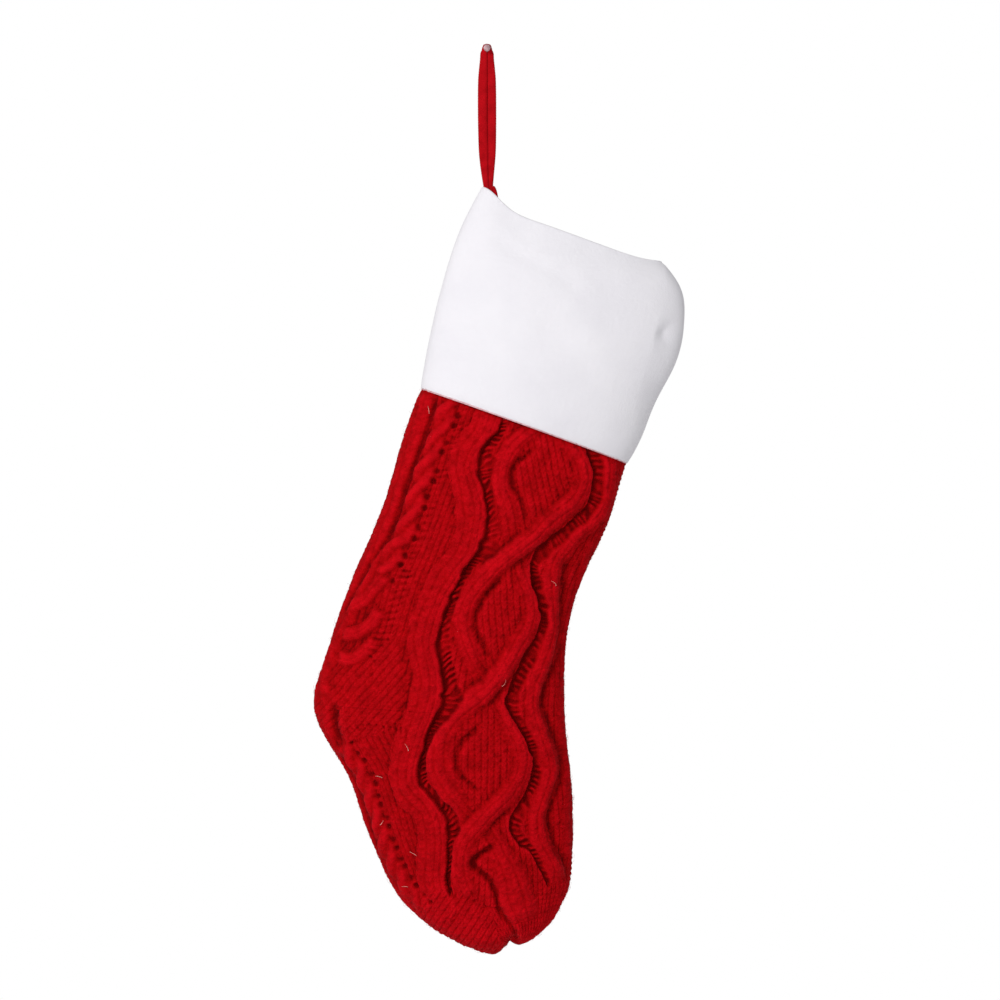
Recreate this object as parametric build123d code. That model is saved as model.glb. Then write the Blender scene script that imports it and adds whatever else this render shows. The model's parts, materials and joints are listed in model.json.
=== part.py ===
from build123d import *
import os

# Hanging cable-knit stocking, in millimetres.
# +Z is up and +Y points into the wall. The origin is the point of the nail's axis on the wall
# plane, so y = 0 is the wall and everything but the nail's driven end is at y < 0.

# ---- driving dimensions ----
HANG_Y = -30.0            # the stocking's middle plane, in front of the wall
KNIT_WALL = 5.0           # thickness of the chunky knit
HEEL_EXTRA = 2.0          # the turned heel is knitted double and is this much thicker
BAND_WALL = 2.6           # plush fabric of the cuff's outer layer
FACING_WALL = 1.4         # the same strip turned in, pile crushed flat
FACING_DEPTH = 56.0       # how far the facing reaches down inside the cuff
SEAM_HALF = 0.8           # half the width of the linked seams
HEM_RING = (0.6, 2.2)     # outer and inner edge of the hem stitching, in from the band's face
HEM_T = 1.0

NAIL_R = 1.0
NAIL_HEAD_R = 2.1
NAIL_HEAD_T = 0.8
NAIL_IN_WALL = 12.0       # cylindrical stretch driven into the wall
NAIL_POINT = 3.0
NAIL_TIP_R = 0.1
NAIL_GAP = 0.5            # between the loop's front edge and the back of the head
GRIP_GROOVE = (0.8, 0.2)  # width and depth of the grip groove just in front of the wall plane

TAPE_WIDTH = 5.6
TAPE_T = 1.0
LOOP_BORE_R = 1.05        # the tape's inner face round the nail
BASE_Z = -80.0            # the sewn base of the loop, where it bends against the cuff
BASE_R = 2.5
NECK_TOP_Z = -72.0        # below this the two strands are drawn together
ARCH_LEG_Z = -7.0         # the tape has turned its face forward here
TAIL_X = 4.2
TAIL_WIDTH = 4.0
TAIL_DEPTH = 15.0
TAIL_GAP = 4.0            # from the end of the loop's base down to the tail
KNOT_R = 1.9
KNOT_DROP = 4.2           # the nub's centre, below the bend of the base

# Cross-sections: left end x, z; right end x, z; half depth along y. Each is an ellipse in a
# plane that holds the Y direction, so the tilt of the tube follows the two ends.
CUFF = [
    (-1.5, -84.0, 105.0, -127.0, 15.0),
    (-9.0, -98.0, 116.0, -142.0, 18.0),
    (-17.5, -118.0, 119.0, -158.5, 20.5),
    (-26.0, -146.0, 117.0, -179.0, 22.5),
    (-33.5, -175.0, 106.5, -209.0, 24.0),
    (-40.5, -203.5, 85.5, -249.0, 24.5),
]
KNIT = [
    (-33.0, -190.0, 88.5, -232.5, 20.0),
    (-36.5, -204.0, 82.0, -246.5, 21.3),
    (-49.5, -236.0, 72.0, -282.5, 24.0),
    (-61.0, -276.5, 60.0, -311.5, 25.0),
    (-76.0, -314.0, 51.5, -339.5, 26.0),
    (-91.0, -345.5, 46.5, -365.0, 27.0),
    (-102.5, -375.0, 45.5, -384.5, 28.0),
    (-103.5, -394.5, 45.5, -401.5, 28.0),
    (-95.0, -415.0, 47.5, -418.5, 28.0),
    (-84.0, -436.0, 49.0, -437.5, 27.0),
    (-74.0, -461.5, 50.5, -459.5, 26.0),
    (-62.0, -490.0, 50.5, -481.0, 24.5),
    (-46.0, -512.5, 48.5, -502.5, 22.0),
    (-28.0, -529.5, 44.0, -516.0, 18.0),
    (-12.5, -538.0, 36.5, -526.0, 13.0),
    (0.5, -542.0, 24.5, -535.5, 6.0),
]

# Borders of the separately knitted sections, in the XZ plane
HEEL_STATIONS = range(5, 9)
HEEL_APEX = (-48.0, -390.0)
HEEL_TOP = (-130.0, -328.0)
HEEL_BOTTOM = (-130.0, -444.0)
TOE_Z = -487.0
SEAM_SPLIT_X = -8.0
FAR = 400.0               # half size of a cutting block


def section(left_x, left_z, right_x, right_z, half_depth, shrink):
    """Elliptic face between two ends in the XZ plane, drawn in by shrink all round."""
    left = Vector(left_x, HANG_Y, left_z)
    right = Vector(right_x, HANG_Y, right_z)
    across = (right - left).normalized()
    plane = Plane(origin=(left + right) / 2, x_dir=across, z_dir=Vector(-across.Z, 0, across.X))
    return plane * Ellipse((right - left).length / 2 - shrink, half_depth - shrink)


def tube(stations, shrink):
    """Solid through the stations, drawn in by shrink."""
    return loft([section(*station, shrink).face() for station in stations])


def block(x=(-FAR, FAR), y=(-FAR, FAR), z=(-2 * FAR, FAR)):
    """Axis-aligned cutting block between pairs of limits."""
    size = [pair[1] - pair[0] for pair in (x, y, z)]
    middle = [(pair[0] + pair[1]) / 2 for pair in (x, y, z)]
    return Pos(*middle) * Box(*size)


def heel_wedge():
    """Block whose XZ outline is the heel's triangle."""
    outline = Plane.XZ * make_face(Polyline(HEEL_APEX, HEEL_TOP, HEEL_BOTTOM, close=True))
    return extrude(outline, FAR, both=True)


def save(name, shape):
    """Write one node and report its size."""
    export_step(shape, f"parts/{name}.step")
    print(f"{name:22s} {shape.volume:12.1f} mm3")


def knit_hollow():
    """Inside of the knitted tube, open at the leg and closed short of the toe."""
    inside = list(KNIT[:-1])
    for index in HEEL_STATIONS:
        left_x, *rest = inside[index]
        inside[index] = (left_x + HEEL_EXTRA, *rest)
    return tube(inside, KNIT_WALL)


def knit_sections():
    """The knitted tube, cut into front and back panels by section, with its linked seams."""
    shell = tube(KNIT, 0) - knit_hollow()
    halves = {
        "front": block(y=(-FAR, HANG_Y - SEAM_HALF)),
        "back": block(y=(HANG_Y + SEAM_HALF, FAR)),
    }
    leg = block(z=(HEEL_APEX[1], FAR))
    foot = block(z=(TOE_Z, HEEL_APEX[1]))
    toe = block(z=(-2 * FAR, TOE_Z))
    wedge = heel_wedge()
    pieces = {}
    for side, half in halves.items():
        panel = shell & half
        pieces[f"leg_{side}"] = (panel & leg) - wedge
        pieces[f"heel_{side}"] = panel & wedge
        pieces[f"foot_{side}"] = (panel & foot) - wedge
        pieces[f"toe_{side}"] = panel & toe
    strip = shell & block(y=(HANG_Y - SEAM_HALF, HANG_Y + SEAM_HALF))
    above_toe = strip & block(z=(TOE_Z, FAR))
    pieces["seam_heel_side"] = above_toe & block(x=(-FAR, SEAM_SPLIT_X))
    pieces["seam_instep_side"] = above_toe & block(x=(SEAM_SPLIT_X, FAR))
    pieces["seam_toe"] = strip & toe
    return pieces


def cuff_pieces():
    """Plush band, its turned-in facing, the band's closing seam and the hem's stitching."""
    band_inner = tube(CUFF, BAND_WALL)
    band = tube(CUFF, 0) - band_inner
    seam = band & block(x=(-FAR, 0), y=(HANG_Y - SEAM_HALF, HANG_Y + SEAM_HALF))
    facing = band_inner - tube(CUFF, BAND_WALL + FACING_WALL)
    top = CUFF[0]
    top_plane = section(*top, 0).face()
    normal = top_plane.normal_at(top_plane.center())
    up = normal if normal.Z > 0 else normal * -1
    cut = Plane(origin=top_plane.center() - up * FACING_DEPTH, z_dir=up)
    facing = facing & (cut * Pos(0, 0, FAR / 2) * Box(2 * FAR, 2 * FAR, FAR))
    ring, hole = [section(*CUFF[-1], edge).face() for edge in HEM_RING]
    down = ring.normal_at(ring.center())
    down = down if down.Z < 0 else down * -1
    hem = extrude(ring, HEM_T, dir=down) - extrude(hole, HEM_T, dir=down)
    return {"cuff_band": band - seam, "cuff_seam": seam, "cuff_facing": facing, "cuff_hem_thread": hem}


def strap(x_middle, x_size, z_low, z_high, y_size):
    """Flat run of tape."""
    return block(
        x=(x_middle - x_size / 2, x_middle + x_size / 2),
        y=(HANG_Y - y_size / 2, HANG_Y + y_size / 2),
        z=(z_low, z_high),
    )


def disc(x, z, radius, y_size):
    """Short cylinder along Y on the stocking's middle plane."""
    return Pos(x, HANG_Y, z) * Rot(90, 0, 0) * Cylinder(radius, y_size)


def hanging_loop():
    """Tape over the nail, its two strands side by side, drawn together at the sewn base."""
    outer_r = LOOP_BORE_R + TAPE_T
    arch = disc(0, 0, outer_r, TAPE_WIDTH) & block(z=(0, FAR))
    arch += strap(0, 2 * outer_r, ARCH_LEG_Z, 0, TAPE_WIDTH)
    arch -= disc(0, 0, LOOP_BORE_R, 2 * TAPE_WIDTH)
    arch -= strap(0, 2 * LOOP_BORE_R, ARCH_LEG_Z + TAPE_T, 0, 2 * TAPE_WIDTH)
    strands = strap(0, 2 * TAPE_WIDTH, NECK_TOP_Z, ARCH_LEG_Z + TAPE_T, TAPE_T)
    neck = strap(0, 2 * BASE_R, BASE_Z, NECK_TOP_Z, TAPE_T) + disc(0, BASE_Z, BASE_R, TAPE_T)
    return arch + strands + neck


def loop_tail():
    """The tape's ends, sewn down inside the corner of the cuff."""
    top = BASE_Z - BASE_R - TAIL_GAP
    return strap(TAIL_X, TAIL_WIDTH, top - TAIL_DEPTH, top, TAPE_T)


def loop_knot():
    """Small overhand nub of tape beside the base of the loop."""
    return Pos(TAIL_X, HANG_Y, BASE_Z - KNOT_DROP) * Sphere(KNOT_R)


def wall_nail():
    """Wire nail along Y, its head in front of the loop and its point in the wall."""
    head_back = HANG_Y - TAPE_WIDTH / 2 - NAIL_GAP
    groove_w, groove_d = GRIP_GROOVE
    shank_len = NAIL_IN_WALL - head_back
    along_y = Rot(-90, 0, 0)
    shank = Pos(0, head_back + shank_len / 2, 0) * along_y * Cylinder(NAIL_R, shank_len)
    groove = Pos(0, -groove_w / 2, 0) * along_y * Cylinder(2 * NAIL_R, groove_w)
    groove -= Pos(0, -groove_w / 2, 0) * along_y * Cylinder(NAIL_R - groove_d, groove_w)
    head = Pos(0, head_back - NAIL_HEAD_T / 2, 0) * along_y * Cylinder(NAIL_HEAD_R, NAIL_HEAD_T)
    point = Pos(0, NAIL_IN_WALL + NAIL_POINT / 2, 0) * along_y * Cone(NAIL_R, NAIL_TIP_R, NAIL_POINT)
    return shank - groove + head + point


os.makedirs("parts", exist_ok=True)
NODES = {"wall_nail": wall_nail(), "hanging_loop": hanging_loop()}
NODES |= {"loop_tail": loop_tail(), "loop_knot": loop_knot()}
NODES |= cuff_pieces()
NODES |= knit_sections()
for node, solid in NODES.items():
    save(node, solid)
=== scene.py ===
import bpy
import json
import math
import numpy as np
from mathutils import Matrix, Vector


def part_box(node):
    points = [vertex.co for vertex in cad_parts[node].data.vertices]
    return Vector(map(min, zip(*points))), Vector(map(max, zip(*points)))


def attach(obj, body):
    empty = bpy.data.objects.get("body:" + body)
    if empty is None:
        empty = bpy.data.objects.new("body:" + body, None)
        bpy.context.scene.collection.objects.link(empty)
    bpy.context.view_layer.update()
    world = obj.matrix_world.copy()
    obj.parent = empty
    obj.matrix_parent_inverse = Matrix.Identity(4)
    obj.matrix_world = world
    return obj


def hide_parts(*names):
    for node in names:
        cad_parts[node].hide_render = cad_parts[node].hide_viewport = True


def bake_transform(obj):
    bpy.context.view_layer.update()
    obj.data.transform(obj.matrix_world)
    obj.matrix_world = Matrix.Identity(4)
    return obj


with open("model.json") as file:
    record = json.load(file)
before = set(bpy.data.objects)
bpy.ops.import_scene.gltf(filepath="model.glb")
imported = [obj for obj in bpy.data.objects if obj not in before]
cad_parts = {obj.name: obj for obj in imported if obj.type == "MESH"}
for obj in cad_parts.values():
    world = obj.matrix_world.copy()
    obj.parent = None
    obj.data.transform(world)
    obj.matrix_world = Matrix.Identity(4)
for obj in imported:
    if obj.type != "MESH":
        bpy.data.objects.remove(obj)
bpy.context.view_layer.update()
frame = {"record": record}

# Lengths in this script are millimetres until a mesh is made. x and z are the row frame's, seen
# from the front, and a route is a short list of (x, z) points on the front of the stocking.
MM = 0.001
JOINTS = {j["name"]: j for j in frame["record"]["behaviour"]["joints"]}
HANG_Y = JOINTS["loop_swing"]["pos_m"][1] / MM
STOCKING, LOOP, NAIL = "stocking", "loop", "nail"
RNG_SEED = 7

# ---- the knitted tube: left x, z; right x, z; half depth ----
KNIT = [
    (-33.0, -190.0, 88.5, -232.5, 20.0),
    (-38.0, -204.0, 83.0, -246.5, 21.3),
    (-49.5, -236.0, 72.0, -282.5, 23.0),
    (-61.5, -276.5, 58.5, -311.5, 24.0),
    (-78.0, -314.0, 49.0, -339.5, 25.0),
    (-89.0, -345.5, 45.5, -365.0, 26.0),
    (-98.5, -375.0, 45.0, -384.5, 26.5),
    (-102.5, -394.5, 45.5, -401.5, 26.5),
    (-94.5, -415.0, 47.0, -418.5, 26.5),
    (-82.0, -436.0, 49.0, -437.5, 26.0),
    (-73.0, -461.5, 50.0, -459.5, 25.0),
    (-61.5, -490.0, 50.0, -481.0, 23.5),
    (-47.5, -512.5, 48.0, -502.5, 22.5),
    (-26.5, -529.0, 42.0, -515.5, 20.0),
    (-10.5, -537.0, 34.5, -525.5, 16.0),
    (2.0, -541.5, 22.5, -535.0, 9.0),
]
# ---- the cuff, the same way ----
CUFF = [
    (-3.2, -83.0, 105.0, -127.0, 14.0),
    (-11.3, -98.0, 115.5, -141.5, 17.5),
    (-19.8, -118.0, 118.5, -158.5, 20.5),
    (-28.2, -146.0, 116.5, -179.0, 23.0),
    (-34.8, -175.0, 106.5, -209.0, 25.5),
    (-40.0, -203.5, 84.5, -248.5, 26.5),
]

# ---- cables, from the cuff to the toe: x, z ----
SERPENT_LEFT = [
    (5, -212), (1, -226), (-4, -235), (-10, -243), (-12, -254), (-9, -264), (-7, -276), (-8, -290),
    (-12, -303), (-20, -313), (-30, -332), (-35, -346), (-36, -358), (-33, -372), (-33, -382),
    (-36, -395), (-42, -410), (-46, -426), (-46, -437), (-40, -445), (-33, -454), (-30, -466),
    (-30, -480), (-30, -494), (-24, -510),
]
SERPENT_RIGHT = [
    (72, -236), (72.5, -254), (70.5, -266), (66, -278), (56, -287), (46, -298), (40, -307),
    (38.5, -320), (39, -335), (39, -349), (34, -367), (29, -378), (27, -390), (30, -404), (35.5, -419),
    (38, -431), (34, -445), (30, -458), (31, -469), (35, -478), (39.5, -487), (41, -499),
]
# The two strands of the big cable: x, z, height over the fabric, half width. A strand passes over
# at one crossing and under at the next.
STRAND_A = [
    (39, -226, 0, 6.8), (47, -236, 0, 7), (54, -247, 0, 7), (56, -259, 0, 7), (50, -271, 1, 6.8),
    (39, -280, 2, 6.6), (28, -291, 2.8, 6.6), (13, -303, 2.8, 6.6), (1, -314, 1.5, 6.8),
    (-7, -324, 0.5, 7.2), (-12, -334, 0, 7.4), (-13.5, -344, 0, 7.4), (-11, -355, -0.5, 7.4),
    (-5, -368, -2, 7), (2, -381, -3.5, 7), (8, -394, -2, 7), (14.5, -407, 0, 7.4),
    (19.5, -420, 0, 7.4), (19.5, -430, 0, 7.4), (15, -440, 1, 7.2), (8.5, -447, 2, 7),
    (1, -454, 2.5, 7), (-7, -463, 1.5, 7), (-13, -472, 0.5, 7), (-15.5, -483, 0, 6.8),
    (-14, -495, 0, 6.8), (-8, -508, 0, 6.8),
]
STRAND_B = [
    (34, -224, 0, 6.4), (25, -231, 0, 6.4), (16, -239, 0, 6.4), (11, -247, 0, 6.4), (9, -255, 0, 6.4),
    (9, -263, 0, 6.6), (11, -270, -0.5, 6.6), (13.5, -277, -1, 6.6), (15.5, -287, -2.5, 6.6),
    (17, -298, -3.5, 6.6), (18.5, -308, -2, 6.8), (21, -318, 0, 7), (24.5, -328, 0, 7),
    (25, -338, 0, 7), (22, -347, 0.5, 7), (17, -356, 1, 7), (12, -365, 2, 7), (6, -374, 2.8, 7),
    (-1, -382, 2.8, 7), (-9, -389, 2, 7.2), (-17, -396, 1, 7.6), (-24, -404, 0.5, 8.4),
    (-27.5, -414, 0, 9.4), (-28, -425, 0, 9.6), (-25, -435, 0, 9), (-19, -444, -1, 8),
    (-12, -453, -3, 7), (-3, -462, -3.5, 7), (5, -474, -1, 7.5), (12, -488, 0.5, 9.5),
    (17, -504, 0.5, 11), (22, -522, 0, 10),
]
# ---- hollows between the cables, bridged by bars of yarn: x, z, half width ----
HOLLOW_LEFT = [
    (11, -223, 1.8), (5.3, -235, 2.5), (0, -241, 3.4), (-1, -250, 4.2), (-1.5, -258, 3.4),
    (0.5, -265, 2.7), (1.7, -273, 2.5), (2.6, -282, 3.3), (2.6, -291, 4.4), (1, -298, 5.2),
    (-4, -304, 4.2), (-10, -310, 2.6), (-17.5, -324, 2.3), (-23, -338, 3.2), (-25, -349, 3.9),
    (-25.7, -357, 3.9), (-23, -370, 4.3), (-20.8, -381, 5.8), (-21, -389, 6.2), (-25, -396, 4.8),
    (-29, -401, 3.2), (-34, -411, 2.0), (-38, -427, 2.1), (-37, -437, 2.8), (-32, -443, 2.6),
    (-27, -450, 2.5), (-21, -456, 4.2), (-19.7, -464, 3.9), (-21.5, -472, 2.3), (-22, -482, 1.8),
    (-22.5, -494, 1.6), (-20, -504, 1.2),
]
HOLLOW_RIGHT = [
    (61, -235, 3.6), (63, -242, 3.8), (65.5, -253, 3.5), (65.5, -262, 3.4), (62, -274, 3.4),
    (56, -281, 3.5), (49, -287, 3.5), (42, -293, 3.5), (36, -298, 3.4), (30.5, -304, 3.3),
    (27.5, -311, 3.2), (28.5, -318, 3.0), (31.5, -327, 2.9), (33, -338, 2.8), (32, -349, 3.0),
    (28.4, -357, 3.2), (25, -364, 3.2), (21.5, -371, 3.3), (17.5, -379, 3.8), (15, -388, 4.2),
    (17, -398, 3.5), (21, -406, 2.7), (25, -414, 2.4), (28, -424, 2.4), (29, -431, 2.6),
    (28, -437, 2.8), (25, -444, 3.0), (21.5, -451, 3.2), (18, -458, 4.0), (17, -465, 4.0),
    (22, -473, 2.5), (28, -480, 2.0), (32, -488, 1.8), (36, -500, 1.2),
]
TWIST_LEG = [
    (-19, -206), (-22, -215), (-27, -229), (-32, -242), (-40, -266), (-48, -290), (-53, -299), (-62, -318),
]
KNUCKLES = [
    [(-57, -314), (-65, -323), (-73, -331), (-84, -336)],
    [(-61, -334), (-68, -344), (-77, -350), (-88, -351)],
    [(-64, -352), (-71, -360), (-80, -365), (-90, -364)],
]
TWIST_SOLE = [
    (-85, -417), (-80, -424), (-75, -431), (-71, -440), (-65, -458), (-61, -470), (-57, -482), (-51, -493),
    (-44, -503), (-35, -512),
]
COLUMN_EDGE = [
    (-36, -204), (-41, -222), (-50, -252), (-60, -285), (-72, -318), (-86, -345), (-97, -370),
    (-98, -392),
]
SIDE_COLUMN = [
    (62, -300), (55, -325), (51, -350), (47, -375), (45, -400), (49, -430), (48, -460), (50, -485),
]
# ---- folds that only dent the fabric ----
CREASE_LEG = [(-28, -205), (-35, -230), (-48, -265), (-59, -295), (-65, -304), (-76, -323), (-86, -343)]
CREASE_SOLE = [(-88, -419), (-82, -430), (-76, -442), (-71, -456), (-67, -470), (-63, -482)]
CREASE_SIDE = [
    (50, -304), (46, -312), (44.5, -325), (43, -340), (41, -358), (38, -371), (34, -382), (32.5, -392),
    (35, -400), (39, -411), (43, -424), (42.5, -436), (38, -448), (36, -458), (38, -470), (42, -480),
    (47, -489), (46, -500),
]
CREASE_TOE = [
    (6, -472), (-1, -477), (-8, -484), (-3, -490), (4, -499), (8, -513), (14, -522), (17, -530),
    (13, -538),
]
TOE_LEFT = [
    (-48, -505), (-30, -500), (-10, -503), (3, -514), (9, -534), (0, -541), (-15, -538), (-35, -526),
]
HEEL_PATCH = [
    (-100, -352), (-72, -358), (-52, -352), (-46, -384), (-50, -402), (-68, -410), (-84, -412),
    (-106, -400),
]
OVAL_VALLEYS = [
    [(29, -238), (22.5, -245), (17, -249), (15, -255), (15.6, -262), (19, -268), (21.5, -275),
     (23.4, -285)],
    [(11, -315), (4.5, -321), (-1.5, -328), (-5, -335), (-6.8, -343), (-5, -350), (-1, -358), (1.5, -366)],
    [(-3, -402), (-10, -408), (-15.5, -414), (-18, -424), (-16, -431), (-10, -437), (-4, -443)],
]
HEEL_BORDER = [(-82, -407), (-70, -404), (-57, -404), (-46, -408)]
LADDER_HEEL = [(-46, -312), (-51, -326), (-56, -340), (-62, -352), (-70, -362)]
HEEL_DIMPLE = [(-87, -391), (-90, -399), (-89.5, -407), (-86, -418)]

# ---- knitting ----
COLUMN = 3.7              # width of one V of stockinette
ROW = 3.2                 # height of one V
STITCH_H = 1.1
KNIT_T = 4.0
TOE_ROUND = 9.0           # the tube closes front to back over this length at the toe
NOTCH_X, NOTCH_WIDTH, NOTCH_DEPTH = 12.5, 4.5, 4.5
PANEL_OVAL = (65, 24)     # half width and depth of the oval that shares out the columns
PANEL_ARC = 152           # fabric round half of it
HEEL_SPLIT = (-45.0, -395.0)   # where the leg's panel ends and the foot's begins
STRIDE = 4                # outer points to one inner point of a panel
PANEL_LEG, PANEL_FOOT, PANEL_COLUMNS = 80, 84, 68   # size of its two parts, in strides
SEAM_R, SEAM_BEAD = 1.1, 0.25

# ---- loose fibres and lint ----
FIBRES = 3600             # loose fibres on each side
FIBRE_R = 0.06
LINT_L, LINT_R = 3.6, 0.2
LINT = [                  # x, z, direction in degrees
    (-34.2, -219.6, 60), (40.8, -321.3, 100), (8.8, -380.4, 20), (-46.2, -418.2, 75),
    (-61.8, -435, 130), (-63.6, -463.2, 10), (-41.4, -480.6, 110), (-46.8, -499.8, 150),
]

# ---- plush ----
CLOTH_T = 2.0             # plush with its backing
LAYER_GAP = 0.3
FACING_AT = 0.42          # how far down the tube the turned-in facing reaches
CUFF_COLUMNS = 390
CUFF_OVAL = (68, 22)      # half width and depth of the oval that shares them out
RIM_SAG = [               # x, drop of the rim
    (-4, 0), (1, 0.8), (6, 3.4), (13.5, 7.8), (32, 9.2), (52, 8.3), (72, 7.4), (95, 4.6), (107, 0.5),
]
CUFF_EDGE = [(107, -150), (103.5, -168), (99, -185), (96, -205), (92, -232)]   # right of it turns away
CUFF_CREASE_Z = -171
CUFF_FOLD = [(8, -114), (28, -126), (50, -141)]
HEM_THREAD_R = 0.45

# ---- tape: width, thickness, route over the nail ----
TAPE_W, TAPE_T = 5.6, 1.7
TAPE_RIB = 1.6            # length of one rib of its weave
STRAND_OFFSET = 0.35      # one strand lies this far in front of the middle, the other behind
LOOP_ROUTE = [
    (0.2, -91.0), (-0.2, -84.0), (-1.1, -78.0), (-1.9, -68.0), (-2.4, -55.0), (-2.7, -40.0), (-2.7, -22.0),
    (-2.2, -10.0), (-1.85, -4.0), (-2.2, 0.2), (-1.4, 2.05), (0.0, 2.05), (1.4, 2.05), (2.2, 0.2),
    (1.85, -4.0), (2.2, -10.0), (2.7, -22.0), (2.8, -40.0), (2.7, -55.0), (2.4, -68.0), (2.1, -78.0),
    (1.9, -84.0), (1.8, -91.0),
]
KNOT_ROUTE = [(3.0, -90.0), (2.6, -85.0), (3.4, -83.4), (4.6, -85.6), (5.6, -89.6)]
KNOT_POINTS = 40

# ---- nail ----
NAIL_R = 1.0
GROOVE_R = 0.88
NAIL_POINT = 3.0

# ---- yarn ----
FIBRE_TONE = 0.66         # how far single fibres go up and down the yarn's colours

# ---- camera and floor, in metres ----
CAMERA_X, CAMERA_Z = 0.0078, -0.2706
FRAME_WIDTH = 0.600
LAMP_AIM_Z = -0.3
FLOOR_Z = -0.68


# ============================== curves and noise ==============================

def spline(points, step=None, count=None, knots=None):
    """Natural cubic spline through rows of numbers, evenly sampled along its knots."""
    p = np.asarray(points, float)
    if knots is None:
        knots = lengths(p[:, :2])
    n = len(knots)
    h = np.diff(knots)
    system = np.eye(n)
    right = np.zeros_like(p)
    for i in range(1, n - 1):
        system[i, i - 1:i + 2] = h[i - 1], 2 * (h[i - 1] + h[i]), h[i]
        right[i] = 6 * ((p[i + 1] - p[i]) / h[i] - (p[i] - p[i - 1]) / h[i - 1])
    bend = np.linalg.solve(system, right)
    count = count or int(knots[-1] / step) + 2
    at = np.linspace(0, knots[-1], count)
    k = np.clip(np.searchsorted(knots, at, side="right") - 1, 0, n - 2)
    a = (knots[k + 1] - at)[:, None]
    b = (at - knots[k])[:, None]
    hk = h[k][:, None]
    return (
        bend[k] * a ** 3 / (6 * hk) + bend[k + 1] * b ** 3 / (6 * hk)
        + (p[k] / hk - bend[k] * hk / 6) * a + (p[k + 1] / hk - bend[k + 1] * hk / 6) * b
    )


def lengths(points):
    """Length along a line up to each of its points."""
    return np.r_[0, np.cumsum(np.linalg.norm(np.diff(points, axis=0), axis=1))]


def smooth_noise(x, y, size, seed):
    """Smooth noise from -1 to 1 with features of the given size."""
    table = np.random.default_rng(seed).uniform(-1, 1, (64, 64))
    u, v = x / size, y / size
    iu, iv = np.floor(u).astype(int), np.floor(v).astype(int)
    fu, fv = u - iu, v - iv
    fu, fv = fu * fu * (3 - 2 * fu), fv * fv * (3 - 2 * fv)

    def at(du, dv):
        return table[(iu + du) % 64, (iv + dv) % 64]

    low = at(0, 0) * (1 - fu) + at(1, 0) * fu
    high = at(0, 1) * (1 - fu) + at(1, 1) * fu
    return low * (1 - fv) + high * fv


def smoothstep(low, high, value):
    t = np.clip((value - low) / (high - low), 0, 1)
    return t * t * (3 - 2 * t)


def unit(v):
    return v / np.maximum(np.linalg.norm(v, axis=-1, keepdims=True), 1e-9)


def near_route(x, z, route, step=1.5):
    """Place of points against a route.

    Gives the distance to it, the length along it up to the point and from there to its end, the
    distance to its side (+ where x grows while the route runs down) and the route's other numbers.
    """
    r = spline(route, step=step)
    along = lengths(r[:, :2])
    tangent = unit(np.gradient(r[:, :2], axis=0))
    flat_x, flat_z = x.ravel(), z.ravel()
    best = np.empty(len(flat_x), int)
    for start in range(0, len(flat_x), 20000):
        cut = slice(start, start + 20000)
        d = (flat_x[cut, None] - r[:, 0]) ** 2 + (flat_z[cut, None] - r[:, 1]) ** 2
        best[cut] = d.argmin(1)
    dx, dz = flat_x - r[best, 0], flat_z - r[best, 1]
    t = tangent[best]
    forward = dx * t[:, 0] + dz * t[:, 1]
    side = -dx * t[:, 1] + dz * t[:, 0]
    within = (best > 0) & (best < len(r) - 1)
    distance = np.where(within, np.abs(side), np.hypot(dx, dz))
    place = along[best] + forward
    extra = [r[best, k].reshape(x.shape) for k in range(2, r.shape[1])]
    return tuple(a.reshape(x.shape) for a in (distance, place, along[-1] - place, side)) + tuple(extra)


def inside(x, z, polygon):
    """Whether points lie in a polygon."""
    hit = np.zeros(x.shape, bool)
    for (ax, az), (bx, bz) in zip(polygon, np.roll(polygon, -1, axis=0)):
        if az == bz:
            continue
        crosses = (az > z) != (bz > z)
        hit ^= crosses & (x < (bx - ax) * (z - az) / (bz - az) + ax)
    return hit


def stitches(column, row):
    """Height from 0 to 1 of stockinette Vs: column and row count stitches."""
    across = (column - np.floor(column)) * 2 - 1
    leg = np.abs(across)
    phase = row + 0.62 * leg
    phase = phase - np.floor(phase)
    ridge = (1 - leg ** 4) * (0.80 + 0.20 * np.clip(leg / 0.25, 0, 1))
    bead = np.clip(np.sin(np.pi * phase), 0, 1) ** 0.6
    return ridge * (0.42 + 0.58 * bead)


# ============================== the tube's shape ==============================

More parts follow.
